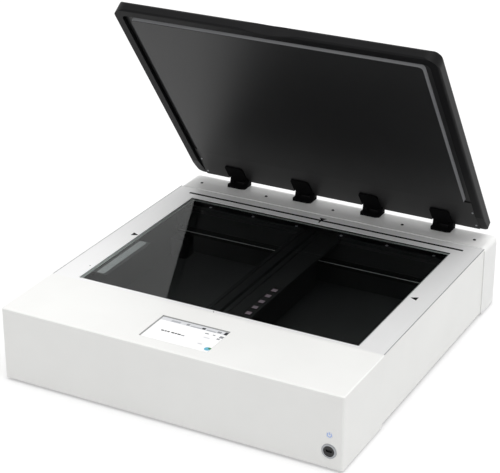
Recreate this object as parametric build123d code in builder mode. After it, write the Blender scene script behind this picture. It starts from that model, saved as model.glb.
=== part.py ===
from build123d import *
import os
from math import cos, radians, sin

# A2-plus flatbed scanner for large originals: a low white casing with a dark
# glass platen, a touch panel in the front deck and a black lid on four hinges.
# X points to the right, Y from the front to the back and Z up. The origin lies
# on the table under the middle of the footprint. The lid stands open.

# ---- driving sizes, in millimetres and degrees

# platen opening, and what the casing adds round it
opening_width = 637.0
opening_depth = 472.0
frame_side = 59.0            # casing side to the opening
frame_front = 12.0           # front cover to the opening
frame_back = 50.5            # opening to the rear cover
frame_sheet = 2.0
frame_recess = 1.0           # frame top below the cover tops
glass_thickness = 5.0
glass_recess = 0.5           # glass top below the frame top
glass_edge_gap = 0.3
gasket_thickness = 1.0
gasket_width = 4.0

# casing
front_cover_depth = 179.0
rear_cover_depth = 81.5
casing_height = 157.0
casing_width = opening_width + 2 * frame_side
opening_from_front = front_cover_depth + frame_front
opening_end = opening_from_front + opening_depth
casing_depth = opening_end + frame_back + rear_cover_depth
foot_height = 6.0
foot_radius = 18.0
foot_inset = 70.0
cover_sheet = 2.0            # painted sheet of the two wrap-round covers
panel_sheet = 1.5            # thinner sheet of the side and rear panels
front_corner_radius = 4.0
front_edge_radius = 2.5
rear_corner_radius = 12.0
rear_edge_radius = 11.0
seat_gap = 0.2               # fit between sheets that seat in each other
seam = 1.0                   # open seam between the frame and the covers

# tub under the glass
tub_inner_width = opening_width + 71.0
tub_front_from_front = opening_from_front - 7.0
tub_back_from_front = opening_end + 38.0
tub_floor_height = 20.0      # underside of the tub floor above the casing bottom
tub_sheet = 1.5
shelf_depth = 46.0           # step in the tub's rear wall that carries the rail

# guides and drive
rail_from_front = opening_end + 11.0
rail_top_height = 133.0      # above the casing bottom
rail_height = 10.0
rail_width = 15.0
rail_length = tub_inner_width - 18.0
rail_screw_pitch = 0.16 * rail_length
rail_screw_count = 6
rod_radius = 6.0
rod_from_front = opening_from_front + 23.0
rod_height = 62.0
running_gap = 0.05
belt_from_front = rail_from_front - 44.0
belt_width = 8.0
belt_thickness = 1.4
belt_height = 85.0           # middle of the belt above the casing bottom
pulley_radius = 10.0         # where the belt's inside runs
pulley_centre_x = tub_inner_width / 2 - 26.0
pulley_bore = 2.5
motor_size = 42.0
motor_height = 44.0

# carriage
carriage_width = 68.0
carriage_shelf_reach = 66.0  # right-hand shelf with the windows, from the slot
carriage_top_height = 138.0
carriage_deck = 18.0         # depth of the wide upper part
carriage_low_width = 60.0
carriage_low_height = 30.0   # underside above the casing bottom
carriage_wall = 2.5
slot_width = 8.0
lamp_width = 12.0
lamp_offset = 20.0
window_size = 15.0
window_pitch = 28.5
window_count = 5
window_x = 53.0
window_from_front = 298.0    # middle window

# touch panel
screen_width = 152.0
screen_depth = 94.0
screen_from_front = 78.0     # middle of the screen
screen_lap = 4.0             # how far the touch glass goes under the deck
touch_glass = 1.5
display_thickness = 8.0

# power button and USB socket in the front
control_x = 349.0
button_height = 70.5
button_radius = 7.0
button_gap = 0.1
button_proud = 0.3
button_length = 6.5
button_flange = 1.6
button_travel = 1.5
usb_height = 36.0
bezel_radius = 15.5
bezel_proud = 1.6
socket_radius = 11.3
socket_depth = 22.0

# hinges
hinge_pitch = 170.0
hinge_count = 4
hinge_width = 48.0
hinge_from_front = casing_depth - 13.0
hinge_axis_height = 13.0     # above the casing top
knuckle_radius = 6.6
cheek_radius = 7.0
cheek_width = 10.5
hinge_pin_radius = 3.0
hinge_neck = 13.0            # leaf's neck from the axis to the wide plate
base_length = 29.0
base_corner = 8.0            # cut front corners
neck_length = 9.0            # foot of a cheek in front of the axis
base_thickness = 4.0
leaf_thickness = 3.0
leaf_length = 44.0
hinge_side_gap = 0.4
screw_radius = 2.4
screw_head = 1.0

# lid, sizes as it lies closed
lid_open_angle = 54.6
lid_width = casing_width - 31.0
lid_thickness = 25.0
lid_front_from_front = opening_from_front - 27.0
lid_back_gap = 5.0           # back edge in front of the hinge axis
lid_above_casing = 1.0       # lip above the casing top
lid_length = hinge_from_front - lid_back_gap - lid_front_from_front
rim_width = 19.0
rim_depth = 9.0              # lip below the inner plate
lid_front_radius = 8.0
lid_edge_radius = 4.0
lid_corner_radius = 30.0
lid_back_corner_radius = 14.0
lip_radius = 4.0
lip_taper_length = 60.0
lid_skin = 3.0
lid_solid_back = 40.0
backing_sheet = 2.0
pad_width = opening_width + 14.0
pad_front_from_edge = 31.0
pad_back_from_edge = 106.0
pad_foam = 8.3
pad_film = 1.0
pad_corner_radius = 10.0
pad_bevel = 2.0
plate_sheet = 2.0            # hinge plate under the lid
grip_width = 132.0
grip_depth = 6.0

# ---- places worked out from the sizes

open_reach = (lid_thickness + lid_above_casing - hinge_axis_height) * sin(
    radians(lid_open_angle)
) - lid_back_gap * cos(radians(lid_open_angle))
overhang = max(0.0, hinge_from_front + open_reach - casing_depth)
front_y = -(casing_depth + overhang) / 2
rear_y = front_y + casing_depth
floor_z = foot_height
top_z = foot_height + casing_height
base_top_z = floor_z + cover_sheet
side_x = casing_width / 2 - cover_sheet - seat_gap      # outer face of the side panels
frame_top_z = top_z - frame_recess
frame_bottom_z = frame_top_z - frame_sheet
glass_top_z = frame_top_z - glass_recess
glass_bottom_z = glass_top_z - glass_thickness
ledge_top_z = glass_bottom_z - gasket_thickness
opening_y = front_y + opening_from_front + opening_depth / 2
tub_floor_z = floor_z + tub_floor_height
tub_front_y = front_y + tub_front_from_front
tub_back_y = front_y + tub_back_from_front
tub_depth = tub_back_y - tub_front_y
tub_y = (tub_front_y + tub_back_y) / 2
rail_y = front_y + rail_from_front
rail_top_z = floor_z + rail_top_height
shelf_z = rail_top_z - rail_height
rod_y = front_y + rod_from_front
rod_z = floor_z + rod_height
belt_y = front_y + belt_from_front
belt_z = floor_z + belt_height
carriage_top_z = floor_z + carriage_top_height
hinge_y = front_y + hinge_from_front
hinge_z = top_z + hinge_axis_height
lid_back_y = hinge_y - lid_back_gap
lid_front_y = lid_back_y - lid_length
lid_y = (lid_front_y + lid_back_y) / 2
lip_z = top_z + lid_above_casing
inner_z = lip_z + rim_depth                             # underside of the backing plate
lid_top_z = lip_z + lid_thickness
screen_y = front_y + screen_from_front
button_z = floor_z + button_height
usb_z = floor_z + usb_height
hinge_line = Axis((0, hinge_y, hinge_z), (1, 0, 0))
hinge_places = [((i - (hinge_count - 1) / 2) * hinge_pitch) for i in range(hinge_count)]

from_below = (Align.CENTER, Align.CENTER, Align.MIN)
from_front = (Align.CENTER, Align.MIN, Align.MIN)
flat_from_front = (Align.CENTER, Align.MIN)

os.makedirs("parts", exist_ok=True)


def save(piece, name):
    piece.label = name
    export_step(piece, f"parts/{name}.step")


def save_on_lid(piece, name):
    save(piece.rotate(hinge_line, -lid_open_angle), name)


# ---- casing

# front cover: front wall, deck and two short side wings in one bent sheet
with BuildPart() as front_cover:
    with BuildSketch(Plane.XY.offset(floor_z)) as outline:
        with Locations((0, front_y)):
            Rectangle(casing_width, front_cover_depth, align=flat_from_front)
        fillet(outline.vertices().group_by(Axis.Y)[0], front_corner_radius)
    extrude(amount=casing_height)
    deck_edges = front_cover.faces().sort_by(Axis.Z)[-1].edges().sort_by(Axis.Y)
    fillet(deck_edges[:-1], front_edge_radius)
    with BuildSketch(Plane.XY.offset(floor_z)) as hollow:
        with Locations((0, front_y + cover_sheet)):
            Rectangle(casing_width - 2 * cover_sheet, front_cover_depth, align=flat_from_front)
        fillet(hollow.vertices().group_by(Axis.Y)[0], front_corner_radius - cover_sheet)
    extrude(amount=casing_height - cover_sheet, mode=Mode.SUBTRACT)
    with Locations((0, screen_y, top_z)):
        Box(screen_width, screen_depth, 4 * cover_sheet, mode=Mode.SUBTRACT)
    with BuildSketch(Plane.XZ.offset(-front_y)):
        with Locations((control_x, button_z)):
            Circle(button_radius + button_gap)
        with Locations((control_x, usb_z)):
            Circle(socket_radius + 0.8)
    extrude(amount=2 * cover_sheet, both=True, mode=Mode.SUBTRACT)
save(front_cover.part, "front_cover")

# rear cover: top strip, back wall and side wings, well rounded at the back
vent_zone_width = 620.0
vent_zone_height = 96.0
vent_zone_z = floor_z + 78.0
with BuildPart() as rear_cover:
    with BuildSketch(Plane.XY.offset(floor_z)) as outline:
        with Locations((0, rear_y - rear_cover_depth)):
            Rectangle(casing_width, rear_cover_depth, align=flat_from_front)
        fillet(outline.vertices().group_by(Axis.Y)[-1], rear_corner_radius)
    extrude(amount=casing_height)
    strip_edges = rear_cover.faces().sort_by(Axis.Z)[-1].edges().sort_by(Axis.Y)
    fillet(strip_edges[1:], rear_edge_radius)
    open_faces = rear_cover.faces().sort_by(Axis.Z)[:1] + rear_cover.faces().sort_by(Axis.Y)[:1]
    offset(amount=-cover_sheet, openings=open_faces)
    with Locations((0, rear_y, vent_zone_z)):
        Box(vent_zone_width, 4 * cover_sheet, vent_zone_height, mode=Mode.SUBTRACT)
save(rear_cover.part, "rear_cover")

# base plate: bottom tray with an upturned edge
base_width = 2 * (side_x - panel_sheet - seat_gap)
base_depth = casing_depth - 2 * (cover_sheet + seat_gap)
base_edge = 18.0
foot_x = casing_width / 2 - foot_inset
foot_y = casing_depth / 2 - foot_inset
casing_y = front_y + casing_depth / 2
with BuildPart() as base_plate:
    with BuildSketch(Plane.XY.offset(floor_z)) as outline:
        with Locations((0, casing_y)):
            Rectangle(base_width, base_depth)
        fillet(outline.vertices().group_by(Axis.Y)[-1], rear_corner_radius)
    extrude(amount=base_edge)
    with BuildSketch(Plane.XY.offset(base_top_z)) as inside:
        with Locations((0, casing_y)):
            Rectangle(base_width - 2 * cover_sheet, base_depth - 2 * cover_sheet)
        fillet(inside.vertices().group_by(Axis.Y)[-1], rear_corner_radius - cover_sheet)
    extrude(amount=base_edge, mode=Mode.SUBTRACT)
save(base_plate.part, "base_plate")

# side panels: long plates tucked behind both covers, with a flange for the frame
panel_start = front_y + cover_sheet + 22.0
panel_length = casing_depth - 2 * (cover_sheet + 22.0)
panel_lift = 3.0
flange_width = 16.0
panel_top_z = frame_bottom_z - seat_gap / 2


def side_panel(side):
    middle_start = front_y + front_cover_depth
    middle_length = casing_depth - front_cover_depth - rear_cover_depth
    with BuildPart() as panel:
        with Locations((side * (side_x - panel_sheet / 2), panel_start, floor_z + panel_lift)):
            Box(
                panel_sheet,
                panel_length,
                panel_top_z - floor_z - panel_lift - rear_edge_radius,
                align=from_front,
            )
        with Locations((side * (side_x - panel_sheet / 2), middle_start, panel_top_z)):
            Box(
                panel_sheet,
                middle_length,
                rear_edge_radius + 4.0,
                align=(Align.CENTER, Align.MIN, Align.MAX),
            )
        with Locations((side * (side_x - flange_width / 2), middle_start, panel_top_z)):
            Box(
                flange_width,
                middle_length,
                panel_sheet,
                align=(Align.CENTER, Align.MIN, Align.MAX),
            )
    return panel.part


save(side_panel(-1), "side_panel_left")
save(side_panel(1), "side_panel_right")

# feet: four rubber pads with a domed rim
with BuildPart() as feet:
    with Locations((0, casing_y, 0)):
        with GridLocations(2 * foot_x, 2 * foot_y, 2, 2):
            Cylinder(foot_radius, foot_height, align=from_below)
    chamfer(feet.edges().group_by(Axis.Z)[0], 1.5)
save(feet.part, "feet")

# ---- platen

frame_front_y = front_y + front_cover_depth + seam
frame_back_y = rear_y - rear_cover_depth - seam
with BuildPart() as platen_frame:
    with BuildSketch(Plane.XY.offset(frame_bottom_z)):
        with Locations((0, frame_front_y)):
            Rectangle(2 * side_x, frame_back_y - frame_front_y, align=flat_from_front)
        with Locations((0, opening_y)):
            Rectangle(opening_width, opening_depth, mode=Mode.SUBTRACT)
    extrude(amount=frame_sheet)
    long_edges = platen_frame.faces().sort_by(Axis.Z)[-1].edges().filter_by(Axis.Y)
    fillet(long_edges.sort_by(Axis.X)[0], 1.0)
    fillet(long_edges.sort_by(Axis.X)[-1], 1.0)
save(platen_frame.part, "platen_frame")

glass_width = opening_width - 2 * glass_edge_gap
glass_depth = opening_depth - 2 * glass_edge_gap
with BuildPart() as platen_glass:
    with Locations((0, opening_y, glass_bottom_z)):
        Box(glass_width, glass_depth, glass_thickness, align=from_below)
    chamfer(platen_glass.edges().group_by(Axis.Z)[-1], 0.4)
save(platen_glass.part, "platen_glass")

with BuildPart() as glass_gasket:
    with BuildSketch(Plane.XY.offset(ledge_top_z)):
        with Locations((0, opening_y)):
            Rectangle(glass_width, glass_depth)
            Rectangle(
                glass_width - 2 * gasket_width,
                glass_depth - 2 * gasket_width,
                mode=Mode.SUBTRACT,
            )
    extrude(amount=gasket_thickness)
save(glass_gasket.part, "glass_gasket")

# scan tub: black folded box with a ledge for the glass and a shelf for the rail
tub_outer_width = tub_inner_width + 2 * tub_sheet
ledge_inner_width = glass_width - 2 * gasket_width - 2.0
ledge_inner_depth = glass_depth - 2 * gasket_width - 2.0
shelf_front_y = tub_back_y - shelf_depth
tub_leg_x = 250.0
tub_leg_y = 180.0
tub_leg_size = 40.0
strip_width = 18.0
strip_length = 174.0
strip_from_opening = 23.0
strip_x = -opening_width / 2 + strip_from_opening
strip_y = front_y + opening_from_front + 0.28 * opening_depth
with BuildPart() as scan_tub:
    with BuildSketch(Plane.YZ):
        with BuildLine():
            Polyline(
                (tub_front_y - tub_sheet, tub_floor_z),
                (shelf_front_y, tub_floor_z),
                (shelf_front_y, shelf_z - tub_sheet),
                (tub_back_y + tub_sheet, shelf_z - tub_sheet),
                (tub_back_y + tub_sheet, frame_bottom_z),
                (tub_front_y - tub_sheet, frame_bottom_z),
                close=True,
            )
        make_face()
    extrude(amount=tub_outer_width / 2, both=True)
    with BuildSketch(Plane.YZ):
        with BuildLine():
            Polyline(
                (tub_front_y, tub_floor_z + tub_sheet),
                (shelf_front_y - tub_sheet, tub_floor_z + tub_sheet),
                (shelf_front_y - tub_sheet, shelf_z),
                (tub_back_y, shelf_z),
                (tub_back_y, frame_bottom_z),
                (tub_front_y, frame_bottom_z),
                close=True,
            )
        make_face()
    extrude(amount=tub_inner_width / 2, both=True, mode=Mode.SUBTRACT)
    with BuildSketch(Plane.XY.offset(ledge_top_z - tub_sheet)):
        with Locations((0, tub_y)):
            Rectangle(tub_inner_width, tub_depth)
        with Locations((0, opening_y)):
            Rectangle(ledge_inner_width, ledge_inner_depth, mode=Mode.SUBTRACT)
        with Locations((strip_x + strip_width, strip_y)):
            Rectangle(4 * strip_width, strip_length + 6.0, align=(Align.MAX, Align.CENTER))
    extrude(amount=tub_sheet)
    with Locations((0, casing_y, base_top_z)):
        with GridLocations(2 * tub_leg_x, 2 * tub_leg_y, 2, 2):
            Box(tub_leg_size, tub_leg_size, tub_floor_z - base_top_z, align=from_below)
save(scan_tub.part, "scan_tub")

# calibration strip: pale reference bar on its arm near the left end of the glass
with BuildPart() as calibration_strip:
    with Locations((strip_x, strip_y, ledge_top_z)):
        Box(strip_width, strip_length, 0.8, align=from_below)
    fillet(calibration_strip.edges().filter_by(Axis.Z), 3.0)
save(calibration_strip.part, "calibration_strip")

# ---- touch panel

touch_top_z = top_z - cover_sheet
with BuildPart() as touchscreen:
    with Locations((0, screen_y, touch_top_z)):
        Box(
            screen_width + 2 * screen_lap,
            screen_depth + 2 * screen_lap,
            touch_glass,
            align=(Align.CENTER, Align.CENTER, Align.MAX),
        )
    fillet(touchscreen.edges().filter_by(Axis.Z), 2.0)
save(touchscreen.part, "touchscreen")

with BuildPart() as display_module:
    with Locations((0, screen_y, touch_top_z - touch_glass)):
        Box(
            screen_width + screen_lap,
            screen_depth + screen_lap,
            display_thickness,
            align=(Align.CENTER, Align.CENTER, Align.MAX),
        )
    fillet(display_module.edges().filter_by(Axis.Z), 1.5)
    with Locations((0, screen_y, touch_top_z - touch_glass - display_thickness)):
        Box(90.0, 56.0, 3.0, align=(Align.CENTER, Align.CENTER, Align.MAX))
save(display_module.part, "display_module")

# ---- power button and USB socket


def from_front_face(x, z, depth=0.0):
    return Plane(origin=(x, front_y + depth, z), x_dir=(1, 0, 0), z_dir=(0, 1, 0))


flange_radius = button_radius + 1.8
with BuildPart() as power_button:
    with BuildSketch(from_front_face(control_x, button_z, -button_proud)):
        Circle(button_radius)
    extrude(amount=button_proud + button_length)
    chamfer(power_button.edges().group_by(Axis.Y)[0], 0.25)
    with BuildSketch(from_front_face(control_x, button_z, cover_sheet + seat_gap)):
        Circle(flange_radius)
    extrude(amount=button_flange)
save(power_button.part, "power_button")

housing_size = 26.0
housing_depth = 20.0
well_depth = cover_sheet + seat_gap + button_flange + button_travel + 1.0
with BuildPart() as button_housing:
    with BuildSketch(from_front_face(control_x, button_z, cover_sheet)):
        Rectangle(housing_size, housing_size)
    extrude(amount=housing_depth)
    with BuildSketch(from_front_face(control_x, button_z, cover_sheet)):
        Circle(flange_radius + 0.3)
    extrude(amount=well_depth - cover_sheet, mode=Mode.SUBTRACT)
    with BuildSketch(from_front_face(control_x, button_z, well_depth)):
        Circle(button_radius + 0.4)
    extrude(amount=button_length + button_travel + 0.3 - well_depth, mode=Mode.SUBTRACT)
save(button_housing.part, "button_housing")

with BuildPart() as usb_bezel:
    with BuildSketch(Plane(origin=(control_x, 0, usb_z), x_dir=(1, 0, 0), z_dir=(0, 0, 1))):
        with BuildLine():
            Polyline(
                (socket_radius, front_y + socket_depth - 6.0),
                (socket_radius, front_y - bezel_proud),
                (bezel_radius - 1.6, front_y - bezel_proud),
                (bezel_radius - 0.3, front_y - 0.6 * bezel_proud),
                (bezel_radius, front_y),
                (socket_radius + 0.8, front_y),
                (socket_radius + 0.8, front_y + socket_depth - 6.0),
                (socket_radius, front_y + socket_depth - 6.0),
            )
        make_face()
    revolve(axis=Axis((control_x, 0, usb_z), (0, 1, 0)))
save(usb_bezel.part, "usb_bezel")

usb_mouth_width = 12.6
usb_mouth_height = 5.2
with BuildPart() as usb_socket:
    with BuildSketch(from_front_face(control_x, usb_z, -bezel_proud + 0.9)):
        Circle(socket_radius)
    extrude(amount=socket_depth)
    with BuildSketch(from_front_face(control_x, usb_z, -bezel_proud + 0.9)):
        Rectangle(usb_mouth_width, usb_mouth_height)
    extrude(amount=socket_depth - 8.0, mode=Mode.SUBTRACT)
    with BuildSketch(from_front_face(control_x, usb_z - 0.9, 2.5)):
        Rectangle(usb_mouth_width - 2.4, 1.9)
    extrude(amount=socket_depth - 8.0 - 2.5)
save(usb_socket.part, "usb_socket")

# ---- back of the casing

panel_y = rear_y - cover_sheet - panel_sheet
panel_margin = 9.0
inlet_x = -262.0
inlet_width = 27.2
inlet_height = 19.6
switch_x = -228.0
switch_width = 13.4
switch_height = 19.4
socket_x = -190.0
network_width = 16.0
network_height = 13.6
fan_x = 210.0
fan_size = 60.0
fan_depth = 20.0
vent_slot = 3.0
connector_z = vent_zone_z - 12.0

with BuildPart() as rear_panel:
    with BuildSketch(Plane.XZ.offset(-panel_y)):
        with Locations((0, vent_zone_z)):
            Rectangle(vent_zone_width + 2 * panel_margin, vent_zone_height + 2 * panel_margin)
        with Locations((inlet_x, connector_z)):
            Rectangle(inlet_width, inlet_height, mode=Mode.SUBTRACT)
        with Locations((switch_x, connector_z)):
            Rectangle(switch_width, switch_height, mode=Mode.SUBTRACT)
        with Locations((socket_x, connector_z)):
            Rectangle(network_width, network_height, mode=Mode.SUBTRACT)
        with Locations((fan_x, vent_zone_z)):
            with GridLocations(0, 2.2 * vent_slot, 1, 9):
                Rectangle(fan_size - 8.0, vent_slot, mode=Mode.SUBTRACT)
        with Locations((0, vent_zone_z)):
            with GridLocations(0, 2.2 * vent_slot, 1, 9):
                Rectangle(2 * fan_size, vent_slot, mode=Mode.SUBTRACT)
    extrude(amount=-panel_sheet)
save(rear_panel.part, "rear_panel")


def behind_panel(x, z, proud=0.0):
    return Plane(
        origin=(x, rear_y - cover_sheet + proud, z), x_dir=(-1, 0, 0), z_dir=(0, -1, 0)
    )


flange_proud = 1.2
inlet_depth = 24.0
pin_spread = 7.0
with BuildPart() as mains_inlet:
    with BuildSketch(behind_panel(inlet_x, connector_z)):
        Rectangle(inlet_width - 2 * seat_gap, inlet_height - 2 * seat_gap)
    extrude(amount=inlet_depth)
    with BuildSketch(behind_panel(inlet_x, connector_z, flange_proud)):
        Rectangle(inlet_width + 3.0, inlet_height + 4.0)
    extrude(amount=flange_proud)
    with BuildSketch(behind_panel(inlet_x, connector_z, flange_proud)):
        Rectangle(24.0, 16.0)
    extrude(amount=17.0, mode=Mode.SUBTRACT)
    with BuildSketch(behind_panel(inlet_x, connector_z, flange_proud - 7.0)):
        with Locations((-pin_spread, -1.5), (0.0, 2.0), (pin_spread, -1.5)):
            Rectangle(2.0, 4.0)
    extrude(amount=10.5)
save(mains_inlet.part, "mains_inlet")

rocker_width = 9.4
rocker_height = 14.0
rocker_pivot_depth = 4.0
with BuildPart() as mains_switch:
    with BuildSketch(behind_panel(switch_x, connector_z)):
        Rectangle(switch_width - 2 * seat_gap, switch_height - 2 * seat_gap)
    extrude(amount=18.0)
    with BuildSketch(behind_panel(switch_x, connector_z, flange_proud)):
        Rectangle(switch_width + 1.6, switch_height + 2.0)
    extrude(amount=flange_proud)
    with BuildSketch(behind_panel(switch_x, connector_z, flange_proud)):
        Rectangle(rocker_width + 0.8, rocker_height + 1.6)
    extrude(amount=13.0, mode=Mode.SUBTRACT)
save(mains_switch.part, "mains_switch")

rocker_pivot_y = rear_y - cover_sheet - rocker_pivot_depth
rocker_reach = 5.6
with BuildPart() as mains_rocker:
    with BuildSketch(Plane.YZ.offset(switch_x)):
        with BuildLine():
            Polyline(
                (rocker_pivot_y + rocker_reach - 1.2, connector_z),
                (rocker_pivot_y + rocker_reach, connector_z + rocker_height / 2 - 1.0),
                (rocker_pivot_y - 1.0, connector_z + rocker_height / 2 - 1.4),
                (rocker_pivot_y - 4.5, connector_z),
                (rocker_pivot_y - 1.0, connector_z - rocker_height / 2 + 1.4),
                (rocker_pivot_y + rocker_reach, connector_z - rocker_height / 2 + 1.0),
                close=True,
            )
        make_face()
    extrude(amount=rocker_width / 2, both=True)
    with BuildSketch(Plane.YZ.offset(switch_x)):
        with Locations((rocker_pivot_y, connector_z)):
            Circle(1.2)
    extrude(amount=rocker_width / 2 + 0.35, both=True)
save(mains_rocker.part, "mains_rocker")

with BuildPart() as network_socket:
    with BuildSketch(behind_panel(socket_x, connector_z)):
        Rectangle(network_width - 2 * seat_gap, network_height - 2 * seat_gap)
    extrude(amount=16.0)
    with BuildSketch(behind_panel(socket_x, connector_z)):
        Rectangle(11.8, 8.2)
    extrude(amount=12.5, mode=Mode.SUBTRACT)
    with BuildSketch(behind_panel(socket_x, connector_z + 4.5)):
        Rectangle(5.0, 2.0)
    extrude(amount=9.0, mode=Mode.SUBTRACT)
save(network_socket.part, "network_socket")

# cooling fan behind the rear panel
fan_front_y = panel_y - seat_gap
fan_bore = fan_size / 2 - 2.0
rotor_radius = fan_bore - 1.2
hub_radius = 12.0
axle_radius = 1.5
blade_count = 7


def fan_plane(depth):
    return Plane(
        origin=(fan_x, fan_front_y - depth, vent_zone_z), x_dir=(-1, 0, 0), z_dir=(0, -1, 0)
    )


with BuildPart() as fan_frame:
    with BuildSketch(fan_plane(0)) as face:
        Rectangle(fan_size, fan_size)
        fillet(face.vertices(), 4.0)
        Circle(fan_bore, mode=Mode.SUBTRACT)
    extrude(amount=fan_depth)
    with BuildSketch(fan_plane(fan_depth - 2.0)):
        Circle(hub_radius)
        with PolarLocations(0, 3):
            Rectangle(fan_bore + 1.0, 3.0, align=(Align.MIN, Align.CENTER))
    extrude(amount=2.0)
    with BuildSketch(fan_plane(5.0)):
        Circle(axle_radius)
    extrude(amount=fan_depth - 6.0)
save(fan_frame.part, "fan_frame")

with BuildPart() as fan_rotor:
    with BuildSketch(fan_plane(2.0)):
        Circle(hub_radius)
    extrude(amount=fan_depth - 4.6)
    with BuildSketch(fan_plane(5.0)):
        Circle(axle_radius + running_gap)
    extrude(amount=fan_depth, mode=Mode.SUBTRACT)
    for blade in range(blade_count):
        turn = radians(360.0 / blade_count * blade)
        outward = Vector(cos(turn), 0, sin(turn))
        blade_root = Vector(fan_x, fan_front_y - fan_depth / 2, vent_zone_z) + outward * (hub_radius - 1.0)
        with BuildSketch(Plane(origin=blade_root, x_dir=(0, 1, 0), z_dir=outward)):
            Rectangle(14.0, 1.4, rotation=50)
        extrude(amount=rotor_radius - hub_radius - 1.0)
    with BuildSketch(fan_plane(5.0)):
        Circle(axle_radius + running_gap)
    extrude(amount=fan_depth, mode=Mode.SUBTRACT)
save(fan_rotor.part, "fan_rotor")

# hinge beam: steel portal inside the rear cover that takes the lid's load
beam_y = rear_y - rear_cover_depth / 2 - 4.0
beam_depth = rear_cover_depth - 35.5
beam_height = 14.0
beam_half = casing_width / 2 - 32.5
post_width = 20.0
with BuildPart() as hinge_beam:
    with BuildSketch(Plane.XZ.offset(-beam_y - beam_depth / 2)):
        with BuildLine():
            Polyline(
                (-beam_half, base_top_z),
                (-beam_half, top_z - cover_sheet),
                (beam_half, top_z - cover_sheet),
                (beam_half, base_top_z),
                (beam_half - post_width, base_top_z),
                (beam_half - post_width, top_z - cover_sheet - beam_height),
                (-beam_half + post_width, top_z - cover_sheet - beam_height),
                (-beam_half + post_width, base_top_z),
                close=True,
            )
        make_face()
    extrude(amount=beam_depth)
save(hinge_beam.part, "hinge_beam")

# power supply under the beam and the main board behind the front wall
supply_x = -60.0
supply_width = 170.0
supply_depth = 56.0
supply_height = 60.0
with BuildPart() as power_supply:
    with Locations((supply_x, beam_y, base_top_z)):
        Box(supply_width, supply_depth, supply_height, align=from_below)
    with BuildSketch(Plane.XY.offset(base_top_z + supply_height)):
        with Locations((supply_x, beam_y)):
            with GridLocations(9.0, 0, 14, 1):
                Rectangle(3.0, supply_depth - 18.0)
    extrude(amount=-2.0, mode=Mode.SUBTRACT)
save(power_supply.part, "power_supply")

board_x = -180.0
board_width = 230.0
board_depth = 130.0
board_y = front_y + front_cover_depth / 2 + 2.5
spacer_height = 8.0
with BuildPart() as main_board:
    with Locations((board_x, board_y, base_top_z + spacer_height)):
        Box(board_width, board_depth, 1.6, align=from_below)
    with Locations((board_x, board_y, base_top_z)):
        with GridLocations(board_width - 12.0, board_depth - 12.0, 2, 2):
            Box(6.0, 6.0, spacer_height, align=from_below)
    board_top_z = base_top_z + spacer_height + 1.6
    with Locations((board_x - 40.0, board_y + 10.0, board_top_z)):
        Box(46.0, 46.0, 14.0, align=from_below)
    with Locations((board_x + 40.0, board_y - 20.0, board_top_z)):
        with GridLocations(22.0, 26.0, 3, 2):
            Box(14.0, 18.0, 1.4, align=from_below)
    with Locations((board_x + 60.0, board_y + 45.0, board_top_z)):
        with GridLocations(16.0, 0, 2, 1):
            Cylinder(5.0, 16.0, align=from_below)
save(main_board.part, "main_board")

# screws that hold the rear cover down on the beam
with BuildPart() as strip_screws:
    with BuildSketch(Plane.XY.offset(top_z)):
        with Locations((0, rear_y - rear_cover_depth + 33.0)):
            with GridLocations(hinge_pitch, 0, hinge_count + 1, 1):
                RegularPolygon(3.4, 14)
    extrude(amount=screw_head, taper=20)
save(strip_screws.part, "strip_screws")

# ---- guides and drive under the glass

with BuildPart() as rear_rail:
    with BuildSketch(Plane.YZ):
        with Locations((rail_y, shelf_z)):
            Rectangle(rail_width, rail_height, align=(Align.CENTER, Align.MIN))
        for side in (-1, 1):
            with Locations((rail_y + side * rail_width / 2, shelf_z + 6.0)):
                Rectangle(2.4, 2.4, rotation=45, mode=Mode.SUBTRACT)
    extrude(amount=rail_length / 2, both=True)
save(rear_rail.part, "rear_rail")

with BuildPart() as rail_screws:
    with BuildSketch(Plane.XY.offset(rail_top_z)):
        with Locations((0, rail_y)):
            with GridLocations(rail_screw_pitch, 0, rail_screw_count, 1):
                RegularPolygon(3.4, 14)
    extrude(amount=0.7, taper=25)
save(rail_screws.part, "rail_screws")

rod_support_width = 10.0
rod_half = tub_inner_width / 2 - 1.0
with BuildPart() as guide_rod:
    with BuildSketch(Plane.YZ):
        with Locations((rod_y, rod_z)):
            Circle(rod_radius)
    extrude(amount=rod_half, both=True)
    chamfer(guide_rod.edges().filter_by(GeomType.CIRCLE), 0.8)
save(guide_rod.part, "guide_rod")

with BuildPart() as rod_supports:
    for side in (-1, 1):
        with BuildSketch(Plane.YZ.offset(side * (tub_inner_width - rod_support_width) / 2)):
            with Locations((rod_y, rod_z)):
                Circle(13.0)
            with Locations((rod_y, tub_floor_z + tub_sheet)):
                Rectangle(26.0, rod_z - tub_floor_z - tub_sheet, align=(Align.CENTER, Align.MIN))
            with Locations((rod_y, rod_z)):
                Circle(rod_radius, mode=Mode.SUBTRACT)
        extrude(amount=rod_support_width / 2, both=True)
save(rod_supports.part, "rod_supports")

# stepping motor, its pulley, the idler and the toothed belt
motor_top_z = tub_floor_z + tub_sheet + motor_height
shaft_top_z = belt_z + 10.0
with BuildPart() as drive_motor:
    with BuildSketch(Plane.XY.offset(tub_floor_z + tub_sheet)) as square:
        with Locations((-pulley_centre_x, belt_y)):
            Rectangle(motor_size, motor_size)
        chamfer(square.vertices(), 5.0)
    extrude(amount=motor_height)
    with Locations((-pulley_centre_x, belt_y, motor_top_z)):
        Cylinder(11.0, 2.0, align=from_below)
        Cylinder(pulley_bore, shaft_top_z - motor_top_z, align=from_below)
save(drive_motor.part, "drive_motor")

with BuildPart() as idler_bracket:
    with BuildSketch(Plane.XY.offset(tub_floor_z + tub_sheet)) as square:
        with Locations((pulley_centre_x, belt_y)):
            Rectangle(30.0, 30.0)
        fillet(square.vertices(), 4.0)
    extrude(amount=motor_height)
    with Locations((pulley_centre_x, belt_y, motor_top_z)):
        Cylinder(6.0, 2.0, align=from_below)
        Cylinder(pulley_bore, shaft_top_z - motor_top_z, align=from_below)
save(idler_bracket.part, "idler_bracket")

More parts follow.
